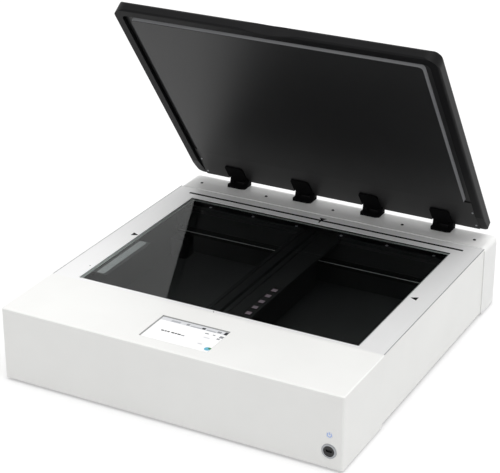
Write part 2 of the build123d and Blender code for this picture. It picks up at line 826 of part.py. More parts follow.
pulley_flange = 1.2
pulley_bottom_z = belt_z - belt_width / 2 - 0.6 - pulley_flange
pulley_height = belt_width + 1.2 + 2 * pulley_flange


def belt_pulley(x, teeth):
    with BuildPart() as pulley:
        with Locations((x, belt_y, pulley_bottom_z)):
            Cylinder(pulley_radius + 3.0, pulley_flange, align=from_below)
        with Locations((x, belt_y, pulley_bottom_z + pulley_height - pulley_flange)):
            Cylinder(pulley_radius + 3.0, pulley_flange, align=from_below)
        with Locations((x, belt_y, pulley_bottom_z)):
            Cylinder(pulley_radius - 0.2, pulley_height, align=from_below)
        if teeth:
            with BuildSketch(Plane.XY.offset(pulley_bottom_z + pulley_flange)):
                with Locations((x, belt_y)):
                    with PolarLocations(pulley_radius - 0.2, teeth):
                        Rectangle(1.2, 1.4, mode=Mode.ADD)
            extrude(amount=pulley_height - 2 * pulley_flange, mode=Mode.SUBTRACT)
        with Locations((x, belt_y, pulley_bottom_z)):
            Cylinder(
                pulley_bore + running_gap,
                3 * pulley_height,
                mode=Mode.SUBTRACT,
            )
    return pulley.part


pulley_teeth = 20
save(belt_pulley(-pulley_centre_x, pulley_teeth), "motor_pulley")
save(belt_pulley(pulley_centre_x, 0), "idler_pulley")

with BuildPart() as drive_belt:
    with BuildSketch(Plane.XY.offset(belt_z - belt_width / 2)):
        with Locations((0, belt_y)):
            SlotCenterToCenter(2 * pulley_centre_x, 2 * (pulley_radius + belt_thickness))
            SlotCenterToCenter(2 * pulley_centre_x, 2 * pulley_radius, mode=Mode.SUBTRACT)
    extrude(amount=belt_width)
save(drive_belt.part, "drive_belt")

# ---- carriage

carriage_front_y = front_y + 190.0
carriage_back_y = rail_y + 14.0
carriage_deck_depth = carriage_back_y - carriage_front_y
low_front_y = front_y + 197.0
low_back_y = belt_y - motor_size / 2 - 8.0
low_bottom_z = floor_z + carriage_low_height
low_top_z = carriage_top_z - carriage_deck
scan_front_y = opening_y - opening_depth / 2 + 3.0
scan_depth = opening_depth - 6.0
block_width = 44.0
block_bottom_z = shelf_z + 2.0
bush_radius = 9.0
with BuildPart() as carriage_body:
    with Locations((0, carriage_front_y, low_top_z)):
        Box(carriage_width, rail_y - rail_width - 8.0 - carriage_front_y, carriage_deck, align=from_front)
    with Locations((0, carriage_front_y, carriage_top_z - 6.0)):
        Box(
            carriage_shelf_reach,
            rail_y - rail_width - 8.0 - carriage_front_y,
            6.0,
            align=Align.MIN,
        )
    with Locations((0, carriage_front_y, carriage_top_z - 4.0)):
        Box(block_width + 16.0, carriage_deck_depth, 4.0, align=from_front)
    with Locations((0, low_front_y, low_bottom_z)):
        Box(carriage_low_width, low_back_y - low_front_y, low_top_z - low_bottom_z, align=from_front)
    fillet(carriage_body.faces().sort_by(Axis.Z)[0].edges().filter_by(Axis.Y), 6.0)
    with Locations((0, low_front_y + 2 * bush_radius + 18.0, low_bottom_z + carriage_wall)):
        Box(
            carriage_low_width - 2 * carriage_wall,
            low_back_y - low_front_y - 2 * bush_radius - 18.0 - carriage_wall,
            low_top_z - low_bottom_z - carriage_wall,
            align=from_front,
            mode=Mode.SUBTRACT,
        )
    with Locations((0, scan_front_y, low_top_z)):
        Box(slot_width, scan_depth, 2 * carriage_deck, align=from_front, mode=Mode.SUBTRACT)
    for side in (-1, 1):
        with Locations((side * lamp_offset, scan_front_y, carriage_top_z - 7.0)):
            Box(lamp_width + 1.0, scan_depth, 8.0, align=from_front, mode=Mode.SUBTRACT)
    with Locations((window_x, front_y + window_from_front, carriage_top_z - 2.0)):
        Box(
            window_size + 5.0,
            window_pitch * window_count,
            4.0,
            align=from_below,
            mode=Mode.SUBTRACT,
        )
    with BuildSketch(Plane.YZ):
        with Locations((rod_y, rod_z)):
            Circle(bush_radius)
    extrude(amount=carriage_width, both=True, mode=Mode.SUBTRACT)
    clamp_y = belt_y - pulley_radius - belt_thickness / 2
    with Locations((0, clamp_y, low_top_z)):
        Box(24.0, 9.0, low_top_z - belt_z + belt_width / 2 + 2.0, align=(Align.CENTER, Align.CENTER, Align.MAX))
    with Locations((0, clamp_y, belt_z)):
        Box(60.0, belt_thickness + 0.4, belt_width + 0.4, mode=Mode.SUBTRACT)
save(carriage_body.part, "carriage_body")

bush_length = 24.0
with BuildPart() as rod_bushes:
    for side in (-1, 1):
        with BuildSketch(Plane.YZ.offset(side * (carriage_low_width - bush_length) / 2)):
            with Locations((rod_y, rod_z)):
                Circle(bush_radius)
                Circle(rod_radius + running_gap, mode=Mode.SUBTRACT)
        extrude(amount=bush_length / 2, both=True)
save(rod_bushes.part, "rod_bushes")

# slide block: grips the rail from above, one leg on each side
with BuildPart() as slide_block:
    with BuildSketch(Plane.YZ):
        with Locations((rail_y, block_bottom_z)):
            Rectangle(
                rail_width + 15.0,
                carriage_top_z - 4.0 - block_bottom_z,
                align=(Align.CENTER, Align.MIN),
            )
            Rectangle(
                rail_width + 2 * running_gap + 0.3,
                rail_top_z - block_bottom_z + 2.0,
                align=(Align.CENTER, Align.MIN),
                mode=Mode.SUBTRACT,
            )
    extrude(amount=block_width / 2, both=True)
save(slide_block.part, "slide_block")

with BuildPart() as lamp_bars:
    for side in (-1, 1):
        with Locations((side * lamp_offset, scan_front_y + 1.0, carriage_top_z - 7.0)):
            Box(lamp_width, scan_depth - 2.0, 5.0, align=from_front)
    fillet(lamp_bars.faces().group_by(Axis.Z)[-1].edges().filter_by(Axis.Y), 1.5)
save(lamp_bars.part, "lamp_bars")

with BuildPart() as sensor_strip:
    with Locations((window_x, front_y + window_from_front, carriage_top_z - 2.0)):
        Box(window_size + 4.0, window_pitch * window_count - 1.0, 1.0, align=from_below)
    with Locations((window_x, front_y + window_from_front, carriage_top_z - 1.0)):
        with GridLocations(0, window_pitch, 1, window_count):
            Box(window_size, window_size, 1.0, align=from_below)
    chamfer(sensor_strip.faces().group_by(Axis.Z)[-1].edges(), 0.3)
save(sensor_strip.part, "sensor_strip")

# folding mirror under the slot, held between the ends of the carriage
mirror_front_y = low_front_y + 2 * bush_radius + 18.0
mirror_length = low_back_y - carriage_wall - mirror_front_y
mirror_z = (low_bottom_z + low_top_z) / 2
with BuildPart() as folding_mirror:
    with BuildSketch(Plane.XZ.offset(-mirror_front_y)):
        with Locations((0, mirror_z)):
            Rectangle(44.0, 4.0, rotation=45)
    extrude(amount=-mirror_length)
save(folding_mirror.part, "folding_mirror")

# ---- hinges


def hinge_base(x):
    with BuildPart() as base:
        with BuildSketch(Plane.XY.offset(top_z)) as plate:
            with Locations((x, hinge_y + cheek_radius)):
                Rectangle(hinge_width, base_length + cheek_radius, align=(Align.CENTER, Align.MAX))
            chamfer(plate.vertices().group_by(Axis.Y)[0], base_corner, base_corner / 2)
        extrude(amount=base_thickness)
        chamfer(base.faces().sort_by(Axis.Z)[-1].edges().group_by(Axis.Y)[0], 1.5)
        for side in (-1, 1):
            cheek_x = x + side * (hinge_width - cheek_width) / 2
            with BuildSketch(Plane.YZ.offset(cheek_x)):
                with Locations((hinge_y, hinge_z)):
                    Circle(cheek_radius)
                with Locations((hinge_y - neck_length, top_z)):
                    Rectangle(neck_length + cheek_radius, base_thickness, align=Align.MIN)
                make_hull()
            extrude(amount=cheek_width / 2, both=True)
    return base.part


leaf_width = hinge_width - 2 * cheek_width - 2 * hinge_side_gap
leaf_start_y = hinge_y - hinge_neck
flange_z = inner_z - plate_sheet


def hinge_leaf(x):
    with BuildPart() as leaf:
        with BuildSketch(Plane.YZ.offset(x)):
            with Locations((hinge_y, hinge_z)):
                Circle(knuckle_radius)
            with Locations((leaf_start_y, flange_z)):
                Rectangle(hinge_neck, leaf_thickness, align=(Align.MIN, Align.MAX))
            make_hull()
            with Locations((hinge_y, hinge_z)):
                Circle(hinge_pin_radius + running_gap, mode=Mode.SUBTRACT)
        extrude(amount=leaf_width / 2, both=True)
        with BuildSketch(Plane.XY.offset(flange_z)) as plate:
            with Locations((x, leaf_start_y - 1.0)):
                Rectangle(hinge_width - 2.0, leaf_length, align=(Align.CENTER, Align.MAX))
            fillet(plate.vertices().group_by(Axis.Y)[0], 8.0)
        extrude(amount=-leaf_thickness)
        with BuildSketch(Plane.XY.offset(flange_z)):
            with Locations((x, leaf_start_y)):
                Rectangle(leaf_width, 8.0)
        extrude(amount=-leaf_thickness)
    return leaf.part


for number, place in enumerate(hinge_places, start=1):
    save(hinge_base(place), f"hinge_base_{number}")
    save_on_lid(hinge_leaf(place), f"hinge_leaf_{number}")

with BuildPart() as hinge_pins:
    for place in hinge_places:
        with BuildSketch(Plane.YZ.offset(place)):
            with Locations((hinge_y, hinge_z)):
                Circle(hinge_pin_radius)
        extrude(amount=hinge_width / 2 - cheek_width, both=True)
save(hinge_pins.part, "hinge_pins")

# ---- lid, modelled closed and then swung open

notch_width = hinge_width + 4.0
notch_depth = hinge_neck + 1.0 - lid_back_gap       # in front of the lid's back edge

with BuildPart() as lid_shell:
    with BuildSketch(Plane.YZ):
        with BuildLine():
            Polyline(
                (lid_front_y + lip_radius, lip_z),
                (lid_back_y - lip_taper_length, lip_z),
                (lid_back_y, inner_z),
                (lid_back_y, lid_top_z),
                (lid_front_y + lid_front_radius, lid_top_z),
            )
            CenterArc(
                (lid_front_y + lid_front_radius, lid_top_z - lid_front_radius),
                lid_front_radius,
                90,
                90,
            )
            Line((lid_front_y, lid_top_z - lid_front_radius), (lid_front_y, lip_z + lip_radius))
            CenterArc((lid_front_y + lip_radius, lip_z + lip_radius), lip_radius, 180, 90)
        make_face()
    extrude(amount=lid_width / 2, both=True)
    with BuildSketch(Plane.XY.offset(lip_z - 1.0)) as plan:
        with Locations((0, lid_y)):
            Rectangle(lid_width, lid_length)
        fillet(plan.vertices().group_by(Axis.Y)[0], lid_corner_radius)
        fillet(plan.vertices().group_by(Axis.Y)[-1], lid_back_corner_radius)
    extrude(amount=lid_thickness + 2.0, mode=Mode.INTERSECT)
    with BuildSketch(Plane.XZ.offset(-lid_front_y + 1.0)) as section:
        with Locations((0, lip_z)):
            Rectangle(lid_width, lid_thickness, align=flat_from_front)
        fillet(section.vertices().group_by(Axis.Y)[-1], lid_edge_radius)
        fillet(section.vertices().group_by(Axis.Y)[0], lip_radius)
    extrude(amount=-(lid_length + 2.0), mode=Mode.INTERSECT)
    # finger grip: a shallow smooth bay in the front edge
    with BuildSketch(Plane.XY.offset(lip_z - 1.0)):
        with BuildLine():
            Spline(
                (-grip_width / 2, lid_front_y),
                (0, lid_front_y + grip_depth),
                (grip_width / 2, lid_front_y),
                tangents=[(1, 0), (1, 0)],
            )
            Polyline(
                (grip_width / 2, lid_front_y),
                (grip_width / 2, lid_front_y - grip_depth),
                (-grip_width / 2, lid_front_y - grip_depth),
                (-grip_width / 2, lid_front_y),
            )
        make_face()
    extrude(amount=lid_thickness + 2.0, mode=Mode.SUBTRACT)
    # tray that takes the backing plate, then ribbed pockets above it
    with BuildSketch(Plane.XY.offset(lip_z - 1.0)) as tray:
        with Locations((0, lid_front_y + rim_width)):
            Rectangle(lid_width - 2 * rim_width, lid_length, align=flat_from_front)
        fillet(tray.vertices().group_by(Axis.Y)[0], lid_corner_radius - rim_width)
    extrude(amount=1.0 + rim_depth + backing_sheet, mode=Mode.SUBTRACT)
    rib = 2.0
    pocket_columns = 5
    pocket_rows = 4
    hollow_width = lid_width - 2 * rim_width - 2 * lid_skin
    hollow_length = lid_length - 2 * rim_width - lid_solid_back
    pocket_x = (hollow_width - (pocket_columns - 1) * rib) / pocket_columns
    pocket_y = (hollow_length - (pocket_rows - 1) * rib) / pocket_rows
    with BuildSketch(Plane.XY.offset(inner_z + backing_sheet)):
        with Locations((0, lid_front_y + 2 * rim_width + hollow_length / 2)):
            with GridLocations(pocket_x + rib, pocket_y + rib, pocket_columns, pocket_rows):
                Rectangle(pocket_x, pocket_y)
    extrude(amount=lid_top_z - lid_skin - inner_z - backing_sheet, mode=Mode.SUBTRACT)
    for place in hinge_places:
        with Locations((place, lid_back_y - notch_depth, lip_z)):
            Box(notch_width, 2 * notch_depth, 2 * lid_thickness, align=from_front, mode=Mode.SUBTRACT)
save_on_lid(lid_shell.part, "lid_shell")


def hinge_notches():
    with Locations(*[(place, lid_back_y) for place in hinge_places]):
        Rectangle(notch_width, 2 * notch_depth, mode=Mode.SUBTRACT)


with BuildPart() as lid_backing_plate:
    with BuildSketch(Plane.XY.offset(inner_z)) as sheet:
        with Locations((0, lid_front_y + rim_width + seat_gap)):
            Rectangle(
                lid_width - 2 * rim_width - 2 * seat_gap,
                lid_length - rim_width - seat_gap,
                align=flat_from_front,
            )
        fillet(sheet.vertices().group_by(Axis.Y)[0], lid_corner_radius - rim_width)
        hinge_notches()
    extrude(amount=backing_sheet)
save_on_lid(lid_backing_plate.part, "lid_backing_plate")

with BuildPart() as lid_hinge_plate:
    with BuildSketch(Plane.XY.offset(flange_z)):
        with Locations((0, lid_back_y)):
            Rectangle(
                lid_width - 2 * rim_width - 4.0,
                pad_back_from_edge - pad_bevel - 1.0,
                align=(Align.CENTER, Align.MAX),
            )
        hinge_notches()
    extrude(amount=plate_sheet)
save_on_lid(lid_hinge_plate.part, "lid_hinge_plate")

pad_length = lid_length - pad_front_from_edge - pad_back_from_edge
pad_y = lid_front_y + pad_front_from_edge + pad_length / 2
with BuildPart() as lid_pad_foam:
    with BuildSketch(Plane.XY.offset(inner_z)) as base_face:
        with Locations((0, pad_y)):
            Rectangle(pad_width + 2 * pad_bevel, pad_length + 2 * pad_bevel)
        fillet(base_face.vertices(), pad_corner_radius + pad_bevel)
    with BuildSketch(Plane.XY.offset(inner_z - pad_foam)) as film_face:
        with Locations((0, pad_y)):
            Rectangle(pad_width, pad_length)
        fillet(film_face.vertices(), pad_corner_radius)
    loft(ruled=True)
save_on_lid(lid_pad_foam.part, "lid_pad_foam")

with BuildPart() as lid_pad_film:
    with BuildSketch(Plane.XY.offset(inner_z - pad_foam - pad_film)) as film_face:
        with Locations((0, pad_y)):
            Rectangle(pad_width, pad_length)
        fillet(film_face.vertices(), pad_corner_radius)
    extrude(amount=pad_film)
save_on_lid(lid_pad_film.part, "lid_pad_film")

with BuildPart() as lid_screws:
    with BuildSketch(Plane.XY.offset(flange_z)):
        with Locations((0, lid_back_y - 38.0)):
            with GridLocations(lid_width - 54.0, 50.0, 2, 2):
                RegularPolygon(screw_radius, 14)
    extrude(amount=-screw_head, taper=20)
save_on_lid(lid_screws.part, "lid_screws")

print("front edge of the casing at y", round(front_y, 2))
print("hinge axis at y", round(hinge_y, 2), "z", round(hinge_z, 2))
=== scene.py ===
import math

import bmesh
import bpy
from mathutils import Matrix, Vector


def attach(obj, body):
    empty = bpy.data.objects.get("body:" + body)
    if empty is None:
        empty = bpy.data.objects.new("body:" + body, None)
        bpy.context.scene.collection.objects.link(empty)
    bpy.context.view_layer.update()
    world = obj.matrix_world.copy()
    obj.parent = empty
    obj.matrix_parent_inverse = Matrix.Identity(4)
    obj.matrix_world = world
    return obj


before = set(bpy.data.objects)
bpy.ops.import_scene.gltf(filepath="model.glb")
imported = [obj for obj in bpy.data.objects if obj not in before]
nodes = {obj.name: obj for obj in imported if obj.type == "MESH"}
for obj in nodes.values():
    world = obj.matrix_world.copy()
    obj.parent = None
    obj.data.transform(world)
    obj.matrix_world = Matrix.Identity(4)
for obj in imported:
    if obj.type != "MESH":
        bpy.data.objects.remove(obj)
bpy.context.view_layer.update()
print("frame loaded:", len(nodes), "pieces")

# where the casing's front face and its underside lie in the frame, in millimetres
casing = {"frontY": -397.5, "underside": 6.0}


def place(x, y, z):
    # casing millimetres, from its middle, front face and underside, to metres in the frame
    return Vector((x, y + casing["frontY"], z + casing["underside"])) / 1000


def linear(hexColour):
    parts = [int(hexColour[i : i + 2], 16) / 255 for i in (1, 3, 5)]
    return [c / 12.92 if c <= 0.04045 else ((c + 0.055) / 1.055) ** 2.4 for c in parts] + [1]


def addNode(tree, kind, settings=None, links=None):
    # settings go to sockets or properties by name, links bring other nodes' outputs in
    node = tree.nodes.new(kind)
    for key, value in (settings or {}).items():
        if key in node.inputs:
            node.inputs[key].default_value = value
        else:
            setattr(node, key, value)
    for key, output in (links or {}).items():
        tree.links.new(output, node.inputs[key])
    return node


def newMaterial(name):
    material = bpy.data.materials.new(name)
    material.use_nodes = True
    material.node_tree.nodes.clear()
    return material, material.node_tree


# what a solid finish has unless its own dictionary says otherwise
plainFinish = {
    "metallic": 0,
    "ior": 1.5,
    "roughSpread": 0.06,
    "bump": 0.1,
    "reliefMm": 0.05,
    "patchMm": 120,
    "patchEdges": (0.35, 0.65),
    "grainStretch": (1, 1, 1),
}


def surfaceFinish(own):
    # a solid finish: two close colours in soft patches, a fine grain in roughness and bump
    spec = {**plainFinish, "colour2": own["colour"], **own}
    material, tree = newMaterial(spec["name"])
    where = addNode(tree, "ShaderNodeTexCoord").outputs["Object"]
    patches = addNode(
        tree,
        "ShaderNodeTexNoise",
        {"Scale": 1000 / spec["patchMm"], "Detail": 3, "Roughness": 0.6},
        {"Vector": where},
    )
    tint = addNode(tree, "ShaderNodeValToRGB", {}, {"Fac": patches.outputs["Fac"]})
    colours = (spec["colour"], spec["colour2"])
    for stop, position, colour in zip(tint.color_ramp.elements, spec["patchEdges"], colours):
        stop.position = position
        stop.color = linear(colour)
    stretch = addNode(
        tree,
        "ShaderNodeMapping",
        {"Scale": spec["grainStretch"]},
        {"Vector": where},
    )
    grain = addNode(
        tree,
        "ShaderNodeTexNoise",
        {"Scale": 1000 / spec["grainMm"], "Detail": 4, "Roughness": 0.55},
        {"Vector": stretch.outputs["Vector"]},
    )
    middle, spread = spec["roughness"], spec["roughSpread"]
    gloss = addNode(
        tree,
        "ShaderNodeMapRange",
        {"To Min": middle - spread, "To Max": middle + spread},
        {"Value": grain.outputs["Fac"]},
    )
    relief = addNode(
        tree,
        "ShaderNodeBump",
        {"Strength": spec["bump"], "Distance": spec["reliefMm"] / 1000},
        {"Height": grain.outputs["Fac"]},
    )
    body = addNode(
        tree,
        "ShaderNodeBsdfPrincipled",
        {"Metallic": spec["metallic"], "IOR": spec["ior"]},
        {
            "Base Color": tint.outputs["Color"],
            "Roughness": gloss.outputs["Result"],
            "Normal": relief.outputs["Normal"],
        },
    )
    addNode(tree, "ShaderNodeOutputMaterial", {}, {"Surface": body.outputs["BSDF"]})
    return material


def clearFinish(spec):
    # see-through glass: smooth, thinly tinted
    material, tree = newMaterial(spec["name"])
    where = addNode(tree, "ShaderNodeTexCoord").outputs["Object"]
    wipe = addNode(
        tree,
        "ShaderNodeTexNoise",
        {"Scale": 1000 / spec["wipeMm"], "Detail": 2},
        {"Vector": where},
    )
    gloss = addNode(
        tree,
        "ShaderNodeMapRange",
        {"To Min": spec["roughness"], "To Max": spec["roughness"] + spec["roughSpread"]},
        {"Value": wipe.outputs["Fac"]},
    )
    body = addNode(
        tree,
        "ShaderNodeBsdfPrincipled",
        {"Base Color": linear(spec["colour"]), "IOR": spec["ior"], "Transmission Weight": 1},
        {"Roughness": gloss.outputs["Result"]},
    )
    # the lamps' light passes straight through, so what lies under the glass is lit evenly
    rays = addNode(tree, "ShaderNodeLightPath")
    clear = addNode(tree, "ShaderNodeBsdfTransparent", {"Color": linear(spec["colour"])})
    both = addNode(
        tree,
        "ShaderNodeMixShader",
        {},
        {0: rays.outputs["Is Shadow Ray"], 1: body.outputs["BSDF"], 2: clear.outputs["BSDF"]},
    )
    addNode(tree, "ShaderNodeOutputMaterial", {}, {"Surface": both.outputs["Shader"]})
    return material


def litFinish(spec):
    # a lit surface, such as a display or a glowing mark
    material, tree = newMaterial(spec["name"])
    body = addNode(
        tree,
        "ShaderNodeBsdfPrincipled",
        {
            "Base Color": linear(spec["colour"]),
            "Roughness": 0.3,
            "Emission Color": linear(spec["glow"]),
            "Emission Strength": spec["strength"],
        },
    )
    addNode(tree, "ShaderNodeOutputMaterial", {}, {"Surface": body.outputs["BSDF"]})
    return material


def seenDirectly(tree):
    # 1 for what the camera, a reflection or the glass shows, 0 for light that only fills
    rays = addNode(tree, "ShaderNodeLightPath").outputs
    mirrored = addNode(
        tree,
        "ShaderNodeMath",
        {"operation": "MAXIMUM"},
        {0: rays["Is Camera Ray"], 1: rays["Is Glossy Ray"]},
    )
    throughGlass = addNode(
        tree,
        "ShaderNodeMath",
        {"operation": "MAXIMUM"},
        {0: mirrored.outputs[0], 1: rays["Is Transmission Ray"]},
    )
    return throughGlass.outputs[0]


# powder coat on steel sheet: white, satin, with a fine orange peel (grain drawn at 2 mm to show)
whitePowderCoat = surfaceFinish(
    {
        "name": "white powder-coated steel",
        "colour": "#f1f1ef",
        "colour2": "#f4f4f2",
        "roughness": 0.42,
        "grainMm": 2.0,
        "bump": 0.08,
        "patchMm": 180,
    }
)
# the same coat on the back cover, a little glossier, so the dark lid shows in it
rearPowderCoat = surfaceFinish(
    {
        "name": "white powder-coated back cover",
        "colour": "#efefee",
        "colour2": "#f3f3f2",
        "roughness": 0.36,
        "grainMm": 1.6,
        "bump": 0.08,
        "patchMm": 140,
    }
)
# anodised aluminium sheet, brushed along its length: pale, satin, streaks along X
anodisedAluminium = surfaceFinish(
    {
        "name": "satin anodised aluminium",
        "colour": "#f2f2f2",
        "colour2": "#f5f5f5",
        "metallic": 0.15,
        "roughness": 0.36,
        "grainMm": 1.2,
        "grainStretch": (0.04, 1, 1),
        "bump": 0.06,
        "patchMm": 200,
    }
)
# clear pane with little reflection: the white room shows in it as a dark grey veil
floatGlass = clearFinish(
    {
        "name": "float glass",
        "colour": "#f2f6f5",
        "ior": 1.15,
        "roughness": 0.0,
        "roughSpread": 0.004,
        "wipeMm": 90,
    }
)
# dull black that swallows the light under the glass
matBlackPaint = surfaceFinish(
    {
        "name": "matt black painted steel",
        "colour": "#1d1d1d",
        "colour2": "#212121",
        "roughness": 0.75,
        "ior": 1.2,
        "grainMm": 2.5,
        "bump": 0.03,
    }
)
# bright grey metal, clouded in small patches
zincPlate = surfaceFinish(
    {
        "name": "zinc-plated steel",
        "colour": "#a9abae",
        "colour2": "#b9bbbd",
        "metallic": 1,
        "roughness": 0.35,
        "grainMm": 1.5,
        "patchMm": 25,
    }
)
# bright rod, drawn along its length
groundSteel = surfaceFinish(
    {
        "name": "ground bright steel",
        "colour": "#c4c6c8",
        "colour2": "#cccdcf",
        "metallic": 1,
        "roughness": 0.16,
        "grainMm": 1.0,
        "grainStretch": (1, 0.1, 0.1),
        "bump": 0.05,
    }
)
# dull black feet with a coarse skin
blackRubber = surfaceFinish(
    {
        "name": "moulded black rubber",
        "colour": "#1b1b1b",
        "colour2": "#202020",
        "roughness": 0.75,
        "grainMm": 1.5,
        "bump": 0.3,
    }
)
# soft mid-grey line round the touch panel; where it is wide, at the left and back, it is painted
# shade of the recess walls
recessShadeRubber = surfaceFinish(
    {
        "name": "grey rubber seal and painted recess shade",
        "colour": "#969796",
        "colour2": "#9e9f9e",
        "roughness": 0.7,
        "ior": 1.35,
        "grainMm": 1.5,
    }
)
# spark-eroded black with a soft sheen on the lid's lip, its grain drawn at 1 mm
mouldedAbs = surfaceFinish(
    {
        "name": "moulded black ABS",
        "colour": "#121213",
        "colour2": "#151516",
        "roughness": 0.44,
        "ior": 1.2,
        "grainMm": 1.0,
        "bump": 0.25,
        "reliefMm": 0.08,
    }
)
# smooth face of the lid's pad, which greys towards the light
padVinyl = surfaceFinish(
    {
        "name": "satin black vinyl film",
        "colour": "#1a1a1b",
        "colour2": "#1d1d1e",
        "roughness": 0.4,
        "ior": 1.45,
        "grainMm": 3.0,
        "bump": 0.08,
        "patchMm": 260,
    }
)
# dull grey, open-celled line round the pad's film
foamEdge = surfaceFinish(
    {
        "name": "grey polyethylene foam",
        "colour": "#96979a",
        "colour2": "#9e9fa1",
        "roughness": 0.85,
        "grainMm": 1.2,
        "bump": 0.5,
        "reliefMm": 0.2,
    }
)
# dry matt black, a little uneven
blackPhosphate = surfaceFinish(
    {
        "name": "black phosphated steel",
        "colour": "#0b0b0c",
        "colour2": "#101011",
        "roughness": 0.8,
        "ior": 1.12,
        "grainMm": 2.0,
    }
)
# smooth black sheet behind the pad and under the hinge leaves
blackPlate = surfaceFinish(
    {
        "name": "black coated aluminium plate",
        "colour": "#161617",
        "colour2": "#1a1a1b",
        "roughness": 0.4,
        "grainMm": 2.0,
    }
)
# soft black fibres without sheen, so moving parts vanish under the glass
flockedBlack = surfaceFinish(
    {
        "name": "black flocked paint",
        "colour": "#121212",
        "colour2": "#151515",
        "roughness": 0.85,
        "ior": 1.15,
        "grainMm": 1.5,
        "bump": 0.2,
    }
)
# turned pulleys and their bracket, dark under the glass
blackAnodised = surfaceFinish(
    {
        "name": "black anodised aluminium",
        "colour": "#0f0f10",
        "colour2": "#131314",
        "roughness": 0.5,
        "ior": 1.3,
        "grainMm": 0.8,
    }
)
# bright ring round the USB port
polishedRing = surfaceFinish(
    {
        "name": "chrome-plated brass",
        "colour": "#96989b",
        "colour2": "#a2a4a7",
        "metallic": 1,
        "roughness": 0.18,
        "roughSpread": 0.03,
        "grainMm": 4.0,
        "bump": 0.02,
    }
)
# deep green board, glossy
solderMask = surfaceFinish(
    {
        "name": "green solder mask",
        "colour": "#14452a",
        "colour2": "#1a5030",
        "roughness": 0.35,
        "grainMm": 3.0,
    }
)
# a thin paler line along the belt's upper edge, across the dark tub: a painted reflection seen in
# the glass
beltEdgeReflection = surfaceFinish(
    {
        "name": "belt edge with painted reflection",
        "colour": "#8c8d8d",
        "colour2": "#949595",
        "roughness": 0.7,
        "grainMm": 1.0,
        "bump": 0.3,
    }
)
# light grey line where the glass meets its frame
paleSilicone = surfaceFinish(
    {
        "name": "pale grey silicone",
        "colour": "#c9cac9",
        "colour2": "#d0d1d0",
        "roughness": 0.6,
        "grainMm": 2.0,
    }
)
# even mid-grey streak under the left end of the glass
paleCeramic = surfaceFinish(
    {
        "name": "matt grey reference tile",
        "colour": "#68696a",
        "colour2": "#747576",
        "roughness": 0.7,
        "grainMm": 2.0,
    }
)
# dusty pink squares against the black strip
rosySensor = surfaceFinish(
    {
        "name": "sensor window under acrylic",
        "colour": "#75646c",
        "colour2": "#65585f",
        "roughness": 0.4,
        "grainMm": 4.0,
        "patchMm": 6,
    }
)
# warm brown-gold bushes, slightly rough
sinteredBronze = surfaceFinish(
    {
        "name": "sintered bronze",
        "colour": "#9a7b45",
        "colour2": "#a9884e",
        "metallic": 1,
        "roughness": 0.45,
        "grainMm": 1.0,
    }
)
# clean mirror
silveredGlass = surfaceFinish(
    {
        "name": "front-silvered glass",
        "colour": "#d8dadb",
        "metallic": 1,
        "roughness": 0.05,
        "roughSpread": 0.01,
        "grainMm": 6.0,
        "bump": 0.0,
    }
)
# mid-grey sheet of the back panel, and of the strips along the frame that are painted shade of
# the gap there
greySheetAndGapShade = surfaceFinish(
    {
        "name": "grey painted sheet and painted gap shade",
        "colour": "#8f9192",
        "colour2": "#969899",
        "roughness": 0.45,
        "grainMm": 2.0,
    }
)
# glossy black pane of the touch panel
coverGlass = surfaceFinish(
    {
        "name": "black-printed touch glass",
        "colour": "#0c0d0e",
        "colour2": "#0e0f10",
        "roughness": 0.08,
        "roughSpread": 0.03,
        "grainMm": 30,
        "bump": 0.0,
    }
)
# milky cap with a hint of blue
frostedCap = surfaceFinish(
    {
        "name": "frosted polycarbonate cap",
        "colour": "#e2e5ef",
        "colour2": "#e7e9f1",
        "roughness": 0.4,
        "grainMm": 2.0,
    }
)
# dense black print on the frame, no sheen
screenInk = surfaceFinish(
    {
        "name": "black screen-printing ink",
        "colour": "#0a0a0a",
        "roughness": 0.8,
        "ior": 1.2,
        "grainMm": 2.0,
    }
)
# satin black of the sockets, the switches, the fan and the button's housing
mouldedNylon = surfaceFinish(
    {
        "name": "moulded black nylon",
        "colour": "#121213",
        "colour2": "#161617",
        "roughness": 0.5,
        "grainMm": 1.5,
    }
)
# the touch panel's picture: a dark pane that glows evenly in each tone
displayTones = {
    "white": {"colour": "#202020", "glow": "#ffffff", "strength": 1.0},
    "pale grey": {"colour": "#202020", "glow": "#e0e1e4", "strength": 0.95},
    "soft grey": {"colour": "#202020", "glow": "#b9bbc0", "strength": 0.9},
    "grey": {"colour": "#202020", "glow": "#9a9ca0", "strength": 0.9},
    "dark": {"colour": "#101010", "glow": "#2b2c30", "strength": 0.9},
    "blue": {"colour": "#101010", "glow": "#6fbad2", "strength": 1.0},
    "green": {"colour": "#101010", "glow": "#3f8440", "strength": 1.0},
}
litDisplay = {
    tone: litFinish({"name": f"lit display, {tone}", **spec})
    for tone, spec in displayTones.items()
}
# blue mark, dimly lit
glowingMark = litFinish(
    {"name": "lit power mark", "colour": "#3f78c0", "glow": "#4a90e0", "strength": 0.35}
)
print("materials made")

